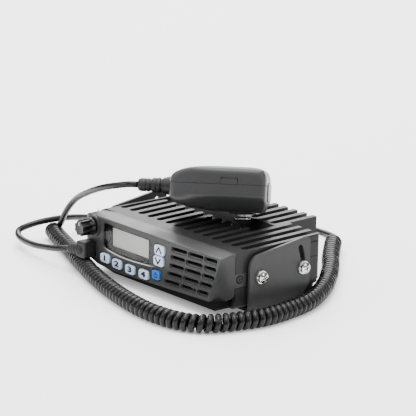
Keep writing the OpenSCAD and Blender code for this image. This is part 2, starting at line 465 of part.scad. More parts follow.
chassis();
bottom_cover();
cover_screws();
front_panel();
panel_screws();
display_window();
lcd_module();
front_board();
key_switches();
volume_control();
volume_shaft();
volume_knob();
mic_jack();
speaker_frame();
speaker_cone();
main_board();
rf_shield();
power_module();
antenna_connector();
antenna_screws();
antenna_insulator();
antenna_contact();
power_socket();
speaker_jack();
key_up();
key_down();
key_1();
key_2();
key_3();
key_4();
key_power();
bracket();
bracket_bolts();
spacer_washers();
mic_front_shell();
mic_rear_shell();
mic_end_panel();
talk_button();
talk_switch();
mic_board();
mic_element();
hanger_button();
hanger_screws();
mic_case_screws();
mic_strain_relief();
plug_boot();
plug_insert();
cord_tail_radio();
cord_coil();
cord_tail_mic();
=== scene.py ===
import json
import math

import bmesh
import bpy
import numpy as np
from mathutils import Matrix, Vector

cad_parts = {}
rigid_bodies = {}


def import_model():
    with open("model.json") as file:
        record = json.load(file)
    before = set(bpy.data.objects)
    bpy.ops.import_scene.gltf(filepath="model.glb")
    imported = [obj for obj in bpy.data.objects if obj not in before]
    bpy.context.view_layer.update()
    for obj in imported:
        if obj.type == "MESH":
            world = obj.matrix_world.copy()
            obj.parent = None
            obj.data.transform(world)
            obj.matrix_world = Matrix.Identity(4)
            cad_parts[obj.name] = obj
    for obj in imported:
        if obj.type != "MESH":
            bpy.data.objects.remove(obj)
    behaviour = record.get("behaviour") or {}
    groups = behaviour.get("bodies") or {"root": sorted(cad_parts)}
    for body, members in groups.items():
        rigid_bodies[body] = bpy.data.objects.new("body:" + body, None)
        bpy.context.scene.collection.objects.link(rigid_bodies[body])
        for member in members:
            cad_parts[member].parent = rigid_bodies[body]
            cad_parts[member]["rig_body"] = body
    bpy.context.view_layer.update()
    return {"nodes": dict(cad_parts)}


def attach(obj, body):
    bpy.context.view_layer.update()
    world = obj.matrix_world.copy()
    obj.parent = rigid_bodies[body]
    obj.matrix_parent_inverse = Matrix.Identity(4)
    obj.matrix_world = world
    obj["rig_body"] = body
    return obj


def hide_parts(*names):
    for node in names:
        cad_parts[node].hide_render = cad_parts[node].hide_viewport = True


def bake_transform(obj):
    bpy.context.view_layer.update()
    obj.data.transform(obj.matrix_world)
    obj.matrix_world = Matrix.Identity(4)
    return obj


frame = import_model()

nodes = frame["nodes"]
home = bpy.context.scene.collection
MM = 0.001


def R(x, y, z):
    """A point given in millimetres from the front lower edge of the chassis."""
    return Vector((x, y - 55.0, z + 6.5)) * MM


def rad(d):
    return math.radians(d)


# ---------------------------------------------------------------- camera
a, e, roll = rad(49.242), rad(15.514), rad(1.257)
fwd = Vector((-math.sin(a) * math.cos(e), math.cos(a) * math.cos(e), -math.sin(e)))
right = Vector((math.cos(a), math.sin(a), 0))
up = right.cross(fwd)
cx = right * math.cos(roll) + up * math.sin(roll)
cy = -right * math.sin(roll) + up * math.cos(roll)
cam_data = bpy.data.cameras.new("camera")
cam_data.sensor_width = 36.0
cam_data.lens = 225.0
cam_data.clip_start = 0.05
cam_data.clip_end = 50
camera = bpy.data.objects.new("camera", cam_data)
home.objects.link(camera)
camera.matrix_world = Matrix(((cx.x, cy.x, -fwd.x, 1.3320), (cx.y, cy.y, -fwd.y, -1.1506), (cx.z, cy.z, -fwd.z, 0.5430), (0, 0, 0, 1)))
bpy.context.scene.camera = camera


# ---------------------------------------------------------------- materials
def link(nt, a_, b_):
    nt.links.new(a_, b_)


def material(name, color, rough=0.5, metal=0.0, vary=0.25, vscale=55.0, grain=0.12, gscale=2600.0, gdist=0.00003, dough=0.07,
             bevel=0.0003, wear=0.0, wear_color=(0.25, 0.25, 0.26), spec=0.5, coat=0.0, coat_rough=0.1, sheen=0.0, aniso=0.0,
             trans=0.0, ior=1.5, streak=None, speck=0.0):
    """Paint, plastic or metal: uneven colour and gloss, a fine grain in the surface, soft edges and, where asked, wear on them."""
    m = bpy.data.materials.new(name)
    m.use_nodes = True
    nt = m.node_tree
    p = nt.nodes["Principled BSDF"]
    p.inputs["Metallic"].default_value = metal
    p.inputs["Specular IOR Level"].default_value = spec
    p.inputs["IOR"].default_value = ior
    p.inputs["Coat Weight"].default_value = coat
    p.inputs["Coat Roughness"].default_value = coat_rough
    p.inputs["Sheen Weight"].default_value = sheen
    p.inputs["Anisotropic"].default_value = aniso
    p.inputs["Transmission Weight"].default_value = trans
    tc = nt.nodes.new("ShaderNodeTexCoord")
    mp = nt.nodes.new("ShaderNodeMapping")
    if streak:
        mp.inputs["Scale"].default_value = streak
    link(nt, tc.outputs["Object"], mp.inputs["Vector"])
    n1 = nt.nodes.new("ShaderNodeTexNoise")
    n1.inputs["Scale"].default_value = vscale
    n1.inputs["Detail"].default_value = 5
    n1.inputs["Roughness"].default_value = 0.6
    link(nt, mp.outputs[0], n1.inputs["Vector"])
    mix = nt.nodes.new("ShaderNodeMix")
    mix.data_type = "RGBA"
    dark = [c * (1 - vary) for c in color]
    light = [min(1.0, c * (1 + vary)) for c in color]
    mix.inputs[6].default_value = (*dark, 1)
    mix.inputs[7].default_value = (*light, 1)
    link(nt, n1.outputs["Fac"], mix.inputs[0])
    out = mix.outputs[2]
    n2 = nt.nodes.new("ShaderNodeTexNoise")
    n2.inputs["Scale"].default_value = gscale
    n2.inputs["Detail"].default_value = 3
    link(nt, mp.outputs[0], n2.inputs["Vector"])
    if speck:
        ramp = nt.nodes.new("ShaderNodeMapRange")
        ramp.inputs[1].default_value = 0.35
        ramp.inputs[2].default_value = 0.75
        ramp.inputs[3].default_value = 0.0
        ramp.inputs[4].default_value = speck
        link(nt, n2.outputs["Fac"], ramp.inputs[0])
        mix3 = nt.nodes.new("ShaderNodeMix")
        mix3.data_type = "RGBA"
        mix3.inputs[7].default_value = (*[min(1, c * 3.0 + 0.01) for c in color], 1)
        link(nt, ramp.outputs[0], mix3.inputs[0])
        link(nt, out, mix3.inputs[6])
        out = mix3.outputs[2]
    mr = nt.nodes.new("ShaderNodeMapRange")
    mr.inputs[1].default_value = 0.25
    mr.inputs[2].default_value = 0.75
    mr.inputs[3].default_value = max(0.02, rough - dough)
    mr.inputs[4].default_value = min(1, rough + dough)
    link(nt, n1.outputs["Fac"], mr.inputs[0])
    link(nt, mr.outputs[0], p.inputs["Roughness"])
    bump = nt.nodes.new("ShaderNodeBump")
    bump.inputs["Strength"].default_value = grain
    bump.inputs["Distance"].default_value = gdist
    link(nt, n2.outputs["Fac"], bump.inputs["Height"])
    link(nt, bump.outputs[0], p.inputs["Normal"])
    if bevel:
        bv = nt.nodes.new("ShaderNodeBevel")
        bv.samples = 6
        bv.inputs["Radius"].default_value = bevel
        link(nt, bv.outputs[0], bump.inputs["Normal"])
        if wear:
            geo = nt.nodes.new("ShaderNodeNewGeometry")
            dot = nt.nodes.new("ShaderNodeVectorMath")
            dot.operation = "DOT_PRODUCT"
            link(nt, bv.outputs[0], dot.inputs[0])
            link(nt, geo.outputs["Normal"], dot.inputs[1])
            wr = nt.nodes.new("ShaderNodeMapRange")
            wr.inputs[1].default_value = 0.985
            wr.inputs[2].default_value = 0.80
            wr.inputs[3].default_value = 0.0
            wr.inputs[4].default_value = 1.0
            link(nt, dot.outputs["Value"], wr.inputs[0])
            wm = nt.nodes.new("ShaderNodeMath")
            wm.operation = "MULTIPLY"
            n3 = nt.nodes.new("ShaderNodeTexNoise")
            n3.inputs["Scale"].default_value = 240
            n3.inputs["Detail"].default_value = 4
            link(nt, tc.outputs["Object"], n3.inputs["Vector"])
            w2 = nt.nodes.new("ShaderNodeMapRange")
            w2.inputs[1].default_value = 0.42
            w2.inputs[2].default_value = 0.68
            w2.inputs[3].default_value = 0.15 * wear
            w2.inputs[4].default_value = wear
            link(nt, n3.outputs["Fac"], w2.inputs[0])
            link(nt, wr.outputs[0], wm.inputs[0])
            link(nt, w2.outputs[0], wm.inputs[1])
            mix2 = nt.nodes.new("ShaderNodeMix")
            mix2.data_type = "RGBA"
            mix2.inputs[7].default_value = (*wear_color, 1)
            link(nt, wm.outputs[0], mix2.inputs[0])
            link(nt, out, mix2.inputs[6])
            out = mix2.outputs[2]
    link(nt, out, p.inputs["Base Color"])
    return m


M = {
    "casting": material("painted_casting", (0.0150, 0.0150, 0.0155), 0.35, vary=0.18, grain=0.30, gscale=2200, gdist=0.00004, bevel=0.0003, wear=0.16,
                        wear_color=(0.10, 0.10, 0.102), speck=0.05, spec=0.13),
    "steel_black": material("painted_steel", (0.0360, 0.0360, 0.0368), 0.36, vary=0.2, grain=0.25, gscale=2600, gdist=0.00003, bevel=0.00025, wear=0.3,
                            wear_color=(0.20, 0.20, 0.205), speck=0.04, spec=0.12),
    "cover": material("cover_steel", (0.012, 0.012, 0.0125), 0.5, grain=0.3, gscale=1800, wear=0.2, spec=0.3),
    "panel": material("panel_plastic", (0.0330, 0.0330, 0.0338), 0.33, vary=0.12, grain=0.35, gscale=3200, gdist=0.00003, bevel=0.0003, speck=0.03, spec=0.16),
    # painted shade: a near-black matt casting for the shaded hollow and the chin
    "matte": material("casting_painted_shade", (0.0050, 0.0050, 0.0052), 0.75, vary=0.2, grain=0.3, gscale=2200, gdist=0.00004, bevel=0, spec=0.03),
    # painted highlight: the lip under the display is light grey to stand for the light along its edge
    "lip": material("panel_lip_painted_highlight", (0.42, 0.42, 0.425), 0.25, vary=0.10, grain=0.2, gscale=3200, bevel=0, spec=0.6),
    "screw_black": material("black_screws", (0.009, 0.009, 0.0095), 0.35, metal=0.2, wear=0.4, bevel=0.00012, spec=0.3),
    "board": material("circuit_board", (0.012, 0.10, 0.045), 0.35, vary=0.4, vscale=400, coat=0.4),
    "board_dark": material("front_board_mask", (0.004, 0.016, 0.008), 0.5, vary=0.4, vscale=400, spec=0.2),
    "switch": material("switch_metal", (0.62, 0.61, 0.58), 0.35, metal=0.8),
    "metal": material("bare_metal", (0.58, 0.58, 0.59), 0.32, metal=1.0, streak=(1, 14, 1), grain=0.1, bevel=0.00015),
    "tin": material("tin_plate", (0.72, 0.73, 0.74), 0.28, metal=1.0, vary=0.1, bevel=0.0002),
    "module": material("module_resin", (0.03, 0.03, 0.033), 0.6, grain=0.4),
    "knob": material("knob_plastic", (0.0035, 0.0035, 0.0037), 0.20, vary=0.2, grain=0.06, gscale=1200, coat=0.08, coat_rough=0.12, bevel=0.00012, dough=0.05, spec=0.20),
    "connector": material("connector_plastic", (0.010, 0.010, 0.0105), 0.42, bevel=0.00025, spec=0.3),
    "nickel": material("nickel", (0.68, 0.66, 0.62), 0.22, metal=1.0, vary=0.12, bevel=0.0002, streak=(1, 1, 6)),
    "insulator": material("white_plastic", (0.62, 0.61, 0.57), 0.45, vary=0.05, bevel=0.0002),
    "socket": material("socket_plastic", (0.52, 0.50, 0.44), 0.45, vary=0.07, bevel=0.0002),
    "brass": material("brass", (0.78, 0.58, 0.26), 0.25, metal=1.0, vary=0.15, bevel=0.0001),
    "paper": material("speaker_paper", (0.02, 0.0195, 0.019), 0.85, grain=0.8, gscale=900, gdist=0.0001),
    "key": material("key_plastic", (0.50, 0.61, 0.79), 0.36, vary=0.06, vscale=120, grain=0.2, gscale=2500, bevel=0.0003, spec=0.35, dough=0.04),
    "key_power": material("power_key_plastic", (0.030, 0.135, 0.46), 0.32, vary=0.10, vscale=160, grain=0.2, gscale=2500, bevel=0.0003, dough=0.04, spec=0.4),
    "chrome": material("chrome_bolts", (0.55, 0.54, 0.52), 0.12, metal=1.0, vary=0.10, vscale=300, grain=0.06, gscale=900, bevel=0.00018, dough=0.05),
    "washer": material("washer_steel", (0.03, 0.03, 0.031), 0.4, metal=0.4, bevel=0.00015),
    "mic": material("mic_plastic", (0.0185, 0.0185, 0.0193), 0.40, vary=0.10, grain=0.55, gscale=2000, gdist=0.00005, bevel=0, speck=0.12, dough=0.04, spec=0.40),
    # painted reflection: the end plate is a lighter grey than the case to stand for the light it reflects
    "mic_end": material("mic_end_plastic_painted_sheen", (0.085, 0.085, 0.086), 0.40, vary=0.10, grain=0.5, gscale=2000, gdist=0.00004, bevel=0.0003, speck=0.15, spec=0.3),
    "talk": material("talk_rubber", (0.007, 0.007, 0.0074), 0.5, vary=0.12, grain=0.5, gscale=2500, bevel=0.0003, spec=0.3),
    "rubber": material("cord_rubber", (0.0055, 0.0055, 0.0057), 0.50, vary=0.2, grain=0.30, gscale=1600, gdist=0.00004, bevel=0.0002, speck=0.04, spec=0.3),
    "jacket": material("cord_jacket", (0.0042, 0.0042, 0.0044), 0.28, vary=0.25, vscale=90, grain=0.20, gscale=1500, gdist=0.00003, bevel=0, speck=0.03, spec=0.24),
    "legend": material("key_legend", (0.010, 0.012, 0.017), 0.5, vary=0.1, bevel=0, spec=0.2),
    "mask": material("display_mask", (0.0025, 0.0025, 0.0027), 0.35, vary=0.2, bevel=0, spec=0.1),
    "pale_mark": material("pale_mark", (0.40, 0.40, 0.41), 0.4, vary=0.05, bevel=0),
}


def glass(name):
    """A clear plastic lens, faintly grey, with a hard gloss."""
    m = bpy.data.materials.new(name)
    m.use_nodes = True
    nt = m.node_tree
    p = nt.nodes["Principled BSDF"]
    p.inputs["Transmission Weight"].default_value = 1.0
    p.inputs["IOR"].default_value = 1.16
    tc = nt.nodes.new("ShaderNodeTexCoord")
    n = nt.nodes.new("ShaderNodeTexNoise")
    n.inputs["Scale"].default_value = 90
    mr = nt.nodes.new("ShaderNodeMapRange")
    mr.inputs[3].default_value = 0.01
    mr.inputs[4].default_value = 0.05
    mix = nt.nodes.new("ShaderNodeMix")
    mix.data_type = "RGBA"
    mix.inputs[6].default_value = (0.90, 0.91, 0.91, 1)
    mix.inputs[7].default_value = (0.95, 0.95, 0.94, 1)
    link(nt, tc.outputs["Object"], n.inputs["Vector"])
    link(nt, n.outputs["Fac"], mr.inputs[0])
    link(nt, mr.outputs[0], p.inputs["Roughness"])
    link(nt, n.outputs["Fac"], mix.inputs[0])
    link(nt, mix.outputs[2], p.inputs["Base Color"])
    return m


def lcd_material():
    """The reflective cell of the display: warm grey, with painted shade that leaves it a little lighter to the right, a
    faint painted glow and a very fine pixel grid.
    """
    m = bpy.data.materials.new("lcd_cell_painted_light")
    m.use_nodes = True
    nt = m.node_tree
    p = nt.nodes["Principled BSDF"]
    tc = nt.nodes.new("ShaderNodeTexCoord")
    sep = nt.nodes.new("ShaderNodeSeparateXYZ")
    link(nt, tc.outputs["Object"], sep.inputs[0])
    # painted shade: the cell is darker towards the left, from X -46 mm to -2 mm
    mr = nt.nodes.new("ShaderNodeMapRange")
    mr.inputs[1].default_value = -0.046
    mr.inputs[2].default_value = -0.002
    link(nt, sep.outputs[0], mr.inputs[0])
    mix = nt.nodes.new("ShaderNodeMix")
    mix.data_type = "RGBA"
    mix.inputs[6].default_value = (0.36, 0.36, 0.335, 1)
    mix.inputs[7].default_value = (0.46, 0.46, 0.43, 1)
    link(nt, mr.outputs[0], mix.inputs[0])
    ck = nt.nodes.new("ShaderNodeTexChecker")
    ck.inputs["Scale"].default_value = 2500
    ck.inputs["Color1"].default_value = (1, 1, 1, 1)
    ck.inputs["Color2"].default_value = (0.96, 0.96, 0.96, 1)
    link(nt, tc.outputs["Object"], ck.inputs["Vector"])
    mul = nt.nodes.new("ShaderNodeMix")
    mul.data_type = "RGBA"
    mul.blend_type = "MULTIPLY"
    mul.inputs[0].default_value = 1.0
    link(nt, mix.outputs[2], mul.inputs[6])
    link(nt, ck.outputs["Color"], mul.inputs[7])
    link(nt, mul.outputs[2], p.inputs["Base Color"])
    p.inputs["Roughness"].default_value = 0.5
    # painted light: the cell glows faintly in its own colour, though it has no backlight
    p.inputs["Emission Strength"].default_value = 0.22
    link(nt, mix.outputs[2], p.inputs["Emission Color"])
    return m


M["glass"] = glass("lens_clear")
M["lcd"] = lcd_material()


# ---------------------------------------------------------------- pieces
def put(name, me, body, mat, replaces=(), smooth=True):
    o = bpy.data.objects.new(name, me)
    home.objects.link(o)
    me.materials.clear()
    me.materials.append(mat)
    if smooth:
        me.shade_smooth()
    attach(o, body)
    if replaces:
        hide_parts(*replaces)
    return o


def mesh_of(name, verts, faces):
    me = bpy.data.meshes.new(name)
    me.from_pydata([tuple(v) for v in verts], [], [tuple(f) for f in faces])
    me.update()
    return me


def bm_mesh(name, bm):
    me = bpy.data.meshes.new(name)
    bmesh.ops.recalc_face_normals(bm, faces=bm.faces)
    bm.to_mesh(me)
    bm.free()
    return me


def tube_mesh(name, pts, radii, n=12, caps=True):
    """A round tube through pts (metres), with its section carried along without twist."""
    pts = np.array(pts, float)
    m = len(pts)
    radii = np.full(m, radii) if np.isscalar(radii) else np.array(radii, float)
    tan = np.gradient(pts, axis=0)
    tan /= np.linalg.norm(tan, axis=1)[:, None]
    ref = np.array([0, 0, 1.0]) if abs(tan[0][2]) < 0.9 else np.array([1.0, 0, 0])
    u = np.cross(tan[0], ref)
    u /= np.linalg.norm(u)
    verts = []
    for i in range(m):
        u = u - tan[i] * (u @ tan[i])
        u /= np.linalg.norm(u)
        v = np.cross(tan[i], u)
        for k in range(n):
            w = 2 * math.pi * k / n
            verts.append(pts[i] + radii[i] * (math.cos(w) * u + math.sin(w) * v))
    faces = [(i * n + k, i * n + (k + 1) % n, (i + 1) * n + (k + 1) % n, (i + 1) * n + k) for i in range(m - 1) for k in range(n)]
    if caps:
        faces.append(tuple(reversed(range(n))))
        faces.append(tuple((m - 1) * n + k for k in range(n)))
    return mesh_of(name, verts, faces)


def lathe(name, profile, n=96, radial=None, matrix=None):
    """Turns (radius, height) pairs, in millimetres, about local Z. radial(angle, r, h) may change the radius."""
    verts, faces = [], []
    m = len(profile)
    for (r, h) in profile:
        for k in range(n):
            w = 2 * math.pi * k / n
            rr = radial(w, r, h) if radial else r
            verts.append(Vector((rr * math.cos(w), rr * math.sin(w), h)) * MM)
    for i in range(m - 1):
        for k in range(n):
            faces.append((i * n + k, i * n + (k + 1) % n, (i + 1) * n + (k + 1) % n, (i + 1) * n + k))
    faces.append(tuple(reversed(range(n))))
    faces.append(tuple((m - 1) * n + k for k in range(n)))
    if matrix is not None:
        verts = [matrix @ v for v in verts]
    return mesh_of(name, verts, faces)


def smooth_profile(pts, rnd=0.25, step=4):
    """Rounds each corner of a profile by cutting it back along both sides and running a short curve between."""
    out = [pts[0]]
    for i in range(1, len(pts) - 1):
        a_, b_, c_ = (np.array(pts[j], float) for j in (i - 1, i, i + 1))
        la, lc = np.linalg.norm(a_ - b_), np.linalg.norm(c_ - b_)
        ra, rc = min(rnd, la * 0.45), min(rnd, lc * 0.45)
        p0, p2 = b_ + (a_ - b_) / la * ra, b_ + (c_ - b_) / lc * rc
        for s in range(step + 1):
            t = s / step
            out.append(tuple((1 - t) ** 2 * p0 + 2 * t * (1 - t) * b_ + t * t * p2))
    out.append(pts[-1])
    return out


def cheek_x(y, z):
    """The panel's right cheek: it leaves the front face along a slanting line and curls round into the side."""
    edge = 74.5 - 0.382 * (35.0 - min(max(z, 3.0), 35.2))
    t = min(max(y / 13.4, 0.0), 1.0)
    return edge + (75.0 - edge) * (1 - (1 - t) ** 1.06)


def shape_cheek(bm):
    for k in range(4, 37, 2):
        near = [f for f in bm.faces if max(v.co.x for v in f.verts) > 0.060 and min(v.co.y for v in f.verts) < -0.0415]
        geom = near + list({e_ for f in near for e_ in f.edges}) + list({v for f in near for v in f.verts})
        bmesh.ops.bisect_plane(bm, geom=geom, plane_co=(0, 0, (k + 6.5) * MM), plane_no=(0, 0, 1), dist=2e-6)
    for k in (0.7, 1.6, 2.7, 4.0, 5.4, 7.0, 8.8, 10.8):
        near = [f for f in bm.faces if max(v.co.x for v in f.verts) > 0.060 and min(v.co.y for v in f.verts) < -0.0415]
        geom = near + list({e_ for f in near for e_ in f.edges}) + list({v for f in near for v in f.verts})
        bmesh.ops.bisect_plane(bm, geom=geom, plane_co=(0, (k - 55) * MM, 0), plane_no=(0, 1, 0), dist=2e-6)
    for v in bm.verts:
        x, y, z = v.co.x / MM, v.co.y / MM + 55, v.co.z / MM - 6.5
        if x < 60 or y > 13.45 or y < -0.05:
            continue
        f = cheek_x(y, z)
        on = abs((x - 75.4) * 0.6963 - y * 0.6493 - (z - 36.4) * 0.3057) < 0.03
        if x > f or on:
            v.co.x = f * MM


def refine(node, body, mat, width=0.25, seg=2, angle=38, shape=None):
    """A welded copy of a CAD node with its edges broken by a small bevel, which stands for that node."""
    bm = bmesh.new()
    bm.from_mesh(nodes[node].data)
    bmesh.ops.remove_doubles(bm, verts=bm.verts, dist=3e-6)
    bmesh.ops.dissolve_limit(bm, angle_limit=rad(0.6), verts=bm.verts, edges=bm.edges)
    if shape:
        shape(bm)
    me = bm_mesh(node + "_finished", bm)
    o = bpy.data.objects.new(node + "_finished", me)
    home.objects.link(o)
    me.materials.clear()
    me.materials.append(mat)
    me.shade_smooth()
    if width:
        b = o.modifiers.new("bevel", "BEVEL")
        b.width = width * MM
        b.segments = seg
        b.limit_method = "ANGLE"
        b.angle_limit = rad(angle)
        b.use_clamp_overlap = True
        b.miter_outer = "MITER_ARC"
        w = o.modifiers.new("normals", "WEIGHTED_NORMAL")
        w.keep_sharp = True
        w.weight = 80
    me.set_sharp_from_angle(angle=rad(30)) if not width else None
    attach(o, body)
    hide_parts(node)
    return o


# ---------------------------------------------------------------- the cord
route_radio = [(-80, -8, 10.5), (-86, -9.6, 9.2), (-95, -10, 7.2), (-108, -9.2, 5), (-122, -7.8, 3), (-138, -4.4, 1.5),
    (-152, 0, 1.5), (-158.5, 5, 3.6), (-156.5, 10, 6), (-153.5, 17.5, 8.2), (-150.5, 27, 9.6), (-149.2, 40, 9.4), (-153, 54, 6.6),
    (-159, 70, 2.4), (-163, 84, -1.6), (-163, 98, -4.2), (-158, 114, -4.2), (-148, 131, -4.2), (-132, 152, -4.2), (-112, 172, -4.2),
    (-88, 190, -4.2), (-64, 200, -4.2), (-42, 202, -4.2), (-26, 198, -3), (-16, 191, -1), (-9, 184, 0.1)]
route_coil = [(-158, 35, 0.1), (-134, 24, 0.1), (-107, 13, 0.1), (-75, -1, 0.1), (-46, -13, 0.1), (-17, -23, 0.1), (14, -31, 0.1),
    (41, -35, 0.1), (63, -34, 0.1), (77, -29.5, 0.1), (86, -22, 0.1), (92, -11, 0.1), (96, 3, 0.1), (99, 19, 0.1), (97, 42, 0.1),
    (90, 69, 0.1), (72, 99, 0.1), (46, 129, 0.1), (27, 147, 0.1), (9, 165, 0.1), (-9, 184, 0.1)]
route_mic = [(-36.4, 18.37, 63), (-41, 13.92, 62.9), (-48.5, 11.4, 61), (-58.6, 10.8, 58), (-71.5, 12, 53.5), (-87.5, 15.5, 47),
    (-105, 20.2, 39), (-114.5, 22.8, 33.5), (-122, 24.2, 27.5), (-130.5, 26.4, 19.5), (-138, 29.5, 12), (-147, 33.5, 5), (-158, 35, 0.1)]
CORD_D, COIL_D, PITCH = 4.6, 13.2, 5.12


def run(points, step):
    """The same spline as the CAD route, sampled about every step millimetres."""
    p = [np.array(q, float) for q in points]
    out = []
    for i in range(len(p) - 1):
        a_, b_, c_, d_ = p[max(i - 1, 0)], p[i], p[i + 1], p[min(i + 2, len(p) - 1)]
        n = max(1, round(np.linalg.norm(c_ - b_) / step))
        for k in range(n):
            t = k / n
            out.append(0.5 * (2 * b_ + (c_ - a_) * t + (2 * a_ - 5 * b_ + 4 * c_ - d_) * t * t + (3 * b_ - a_ - 3 * c_ + d_) * t ** 3))
    out.append(p[-1])
    return np.array(out)


def resample(q, step):
    d = np.concatenate([[0], np.cumsum(np.linalg.norm(np.diff(q, axis=0), axis=1))])
    n = max(2, int(round(d[-1] / step)) + 1)
    s = np.linspace(0, d[-1], n)
    return np.stack([np.interp(s, d, q[:, k]) for k in range(3)], 1), d[-1]


tail_m = resample(run(route_mic, 2.0), 2.2)[0]
tail_r = resample(run(route_radio, 2.0), 2.2)[0]
centre, coil_len = resample(run(route_coil, 1.0), 0.25)
turns = round(coil_len / PITCH)
per_turn = 18
count = turns * per_turn + 1
pos = np.linspace(0, coil_len, count)
grid = np.linspace(0, coil_len, len(centre))
# the turns aren't quite evenly spaced
pos = pos + 0.5 * np.sin(pos / 37.0) * np.sin(math.pi * pos / coil_len) + 0.35 * np.sin(pos / 11.3 + 1.0) * np.sin(math.pi * pos / coil_len)
c = np.stack([np.interp(pos, grid, centre[:, k]) for k in range(3)], 1)
t = np.gradient(c, axis=0)
t /= np.linalg.norm(t, axis=1)[:, None]
side_v = np.cross(t, [0, 0, 1.0])
side_v /= np.linalg.norm(side_v, axis=1)[:, None]
phase = 2 * math.pi * np.arange(count) / per_turn - math.pi / 2
ends = np.minimum(np.arange(count), np.arange(count)[::-1]) / (1.1 * per_turn)
grow = np.clip(ends, 0, 1)
grow = grow * grow * (3 - 2 * grow)
rad_h = (COIL_D - CORD_D) / 2 * grow
lean = 0.18 * np.sin(pos / 23.0)
helix = c + rad_h[:, None] * (np.cos(phase)[:, None] * side_v + np.sin(phase)[:, None] * np.array([0, 0, 1.0])) + (rad_h * np.sin(phase + 0.6) * lean * 0.25)[:, None] * t
cord_path = np.concatenate([tail_m, helix[1:-1], tail_r[::-1]])
# settle the two places where the straight parts run into the turns
for _ in range(3):
    keep = cord_path.copy()
    for mid in (len(tail_m) - 1, len(tail_m) + len(helix) - 3):
        for i in range(mid - 7, mid + 8):
            keep[i] = (cord_path[i - 1] + 2 * cord_path[i] + cord_path[i + 1]) / 4
    cord_path = keep
cord_m = [tuple(R(*q)) for q in cord_path]
cord = put("curly_cord", tube_mesh("curly_cord", cord_m, CORD_D / 2 * MM, 12), "radio", M["jacket"])
cord.parent = None
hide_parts("cord_tail_radio", "cord_coil", "cord_tail_mic")
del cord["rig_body"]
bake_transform(cord)

# ---------------------------------------------------------------- plug boot on the panel
PI = math.pi


def gauge(poly, x, y):
    """How far out (x, y) is on a convex outline about the origin: 1 on the outline."""
    best = np.zeros(np.broadcast(x, y).shape)
    for i in range(len(poly)):
        (x0, y0), (x1, y1) = poly[i], poly[(i + 1) % len(poly)]
        nx, ny = y1 - y0, x0 - x1
        d = nx * x0 + ny * y0
        if abs(d) < 1e-9:
            continue
        if d < 0:
            nx, ny, d = -nx, -ny, -d
        best = np.maximum(best, (nx * x + ny * y) / d)
    return best


def ball_dirs(n):
    """Directions and quads of a cube sphere with n cells along each edge."""
    verts, faces, index = [], [], {}

    def at(p):
        k = (round(p[0] * 1e6), round(p[1] * 1e6), round(p[2] * 1e6))
        if k not in index:
            index[k] = len(verts)
            verts.append(p)
        return index[k]

    for axis in range(3):
        for s in (-1, 1):
            for i in range(n):
                for j in range(n):
                    quad = []
                    for (u_, v_) in ((i, j), (i + 1, j), (i + 1, j + 1), (i, j + 1)):
                        q = [0, 0, 0]
                        q[axis] = s
                        q[(axis + 1) % 3] = math.tan((2 * u_ / n - 1) * PI / 4)
                        q[(axis + 2) % 3] = math.tan((2 * v_ / n - 1) * PI / 4)
                        quad.append(at(tuple(q)))
                    faces.append(quad if s > 0 else quad[::-1])
    return np.array(verts, float), faces


def rounded_form(gauges, n, power, scale=(1, 1, 1)):
    """A closed surface inside several outlines at once, its edges rounded by a power mean. Millimetres."""
    d, faces = ball_dirs(n)
    d = d * np.array(scale)
    g = np.zeros(len(d))
    for f in gauges:
        g += np.clip(f(d), 0, None) ** power
    g = g ** (1 / power)
    return d / g[:, None], faces


# ---------------------------------------------------------------- microphone
MIC = Matrix.Translation((0.0048, 0.0032, 0.0695)) @ Matrix.Rotation(rad(44.03), 4, "Z") @ Matrix.Rotation(rad(-16), 4, "X")


def ml(x, y, z):
    return MIC @ (Vector((x, y, z)) * MM)


def arc(cx_, cy_, r, a0, a1, n):
    return [(cx_ + r * math.cos(rad(a0 + (a1 - a0) * i / n)), cy_ + r * math.sin(rad(a0 + (a1 - a0) * i / n))) for i in range(n + 1)]


plan = arc(-26.5, 15.5, 7, 105, 180, 10) + arc(-26.5, -15.5, 7, 180, 255, 10) + [(-14, -26.6), (-6, -27.7), (2, -28), (22, -28)] + \
    arc(28, -21, 7, 275, 360, 10) + arc(28, 21, 7, 0, 85, 10) + [(22, 28), (2, 28), (-6, 27.7), (-14, 26.6)]
section = [(-28, -5), (-28, 8.6)] + arc(-23, 9.4, 5, 178, 104, 10) + [(-16, 15.0), (-8, 15.75), (0, 16), (8, 15.75), (16, 15.0)] + arc(23, 9.4, 5, 76, 2, 10) + \
    [(28, 8.6), (28, -5), (16.5, -14.2), (13, -14.5), (-13, -14.5), (-16.5, -14.2)]
prof = [(-33.5, 3), (-32.6, 6.2), (-31, 8.3), (-28, 10.3), (-24, 12.1), (-19, 13.7), (-13, 15.0), (-6, 15.8), (2, 16), (20, 16), (25, 15.7), (28.5, 14.8), (31.5, 12.9),
        (33.6, 10.2), (34.7, 7), (35, 3.5), (35, -8), (31, -14.5), (-2, -14.5), (-18, -12.4), (-28, -9.6), (-33.5, -7)]
mic_v, mic_f = rounded_form([lambda d: gauge(plan, d[:, 0], d[:, 1]), lambda d: gauge(section, d[:, 1], d[:, 2]), lambda d: gauge(prof, d[:, 0], d[:, 2])],
                            64, 20, (34, 28, 14))


# the case is a little larger than the outlines above, most of all below the joint line
mic_v = mic_v * np.array([1.03, 1.03, 1.0])
mic_v[:, 2] *= np.where(mic_v[:, 2] < 0, 1.16, 1.0)


